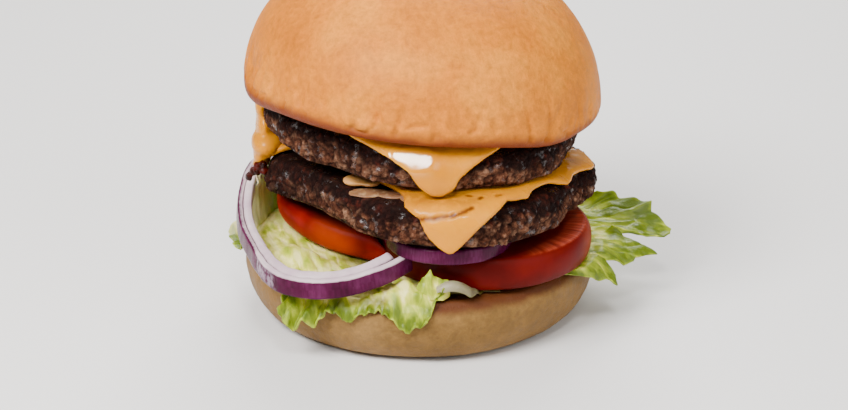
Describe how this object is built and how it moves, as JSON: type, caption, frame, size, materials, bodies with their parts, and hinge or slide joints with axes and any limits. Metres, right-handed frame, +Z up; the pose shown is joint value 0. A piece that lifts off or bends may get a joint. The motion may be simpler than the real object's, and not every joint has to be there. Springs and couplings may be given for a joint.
{
  "type": "double cheeseburger",
  "caption": "Stacked burger: domed bun, two beef patties under melted cheese slices, tomato, red onion rings and ruffled lettuce on a flat lower bun.",
  "frame": {"origin": "centre of the flat underside of the lower bun, on the surface it stands on", "axes": "+Z up through the stack, -Y towards the front with the cheese corners, +X to the viewer's right"},
  "size_m": [0.1355, 0.1166, 0.112],
  "materials": {
    "bun": "satin baked crust",
    "beef": "crumbly seared mince with wet fat",
    "cheese": "smooth melted satin",
    "tomato": "glossy skin and wet cut face",
    "onion": "glossy purple skin, pale cut face",
    "lettuce": "moist leaf with pale ribs"
  },
  "bodies": {
    "root": {"bun_crown": "bun", "bun_heel": "bun", "patty_upper": "beef", "patty_lower": "beef", "cheese_upper": "cheese", "cheese_lower": "cheese", "tomato_left": "tomato", "tomato_right": "tomato", "onion_ring": "onion", "onion_arc": "onion", "lettuce_front": "lettuce", "lettuce_right": "lettuce", "lettuce_back": "lettuce", "lettuce_curl": "lettuce"}
  },
  "joints": []
}
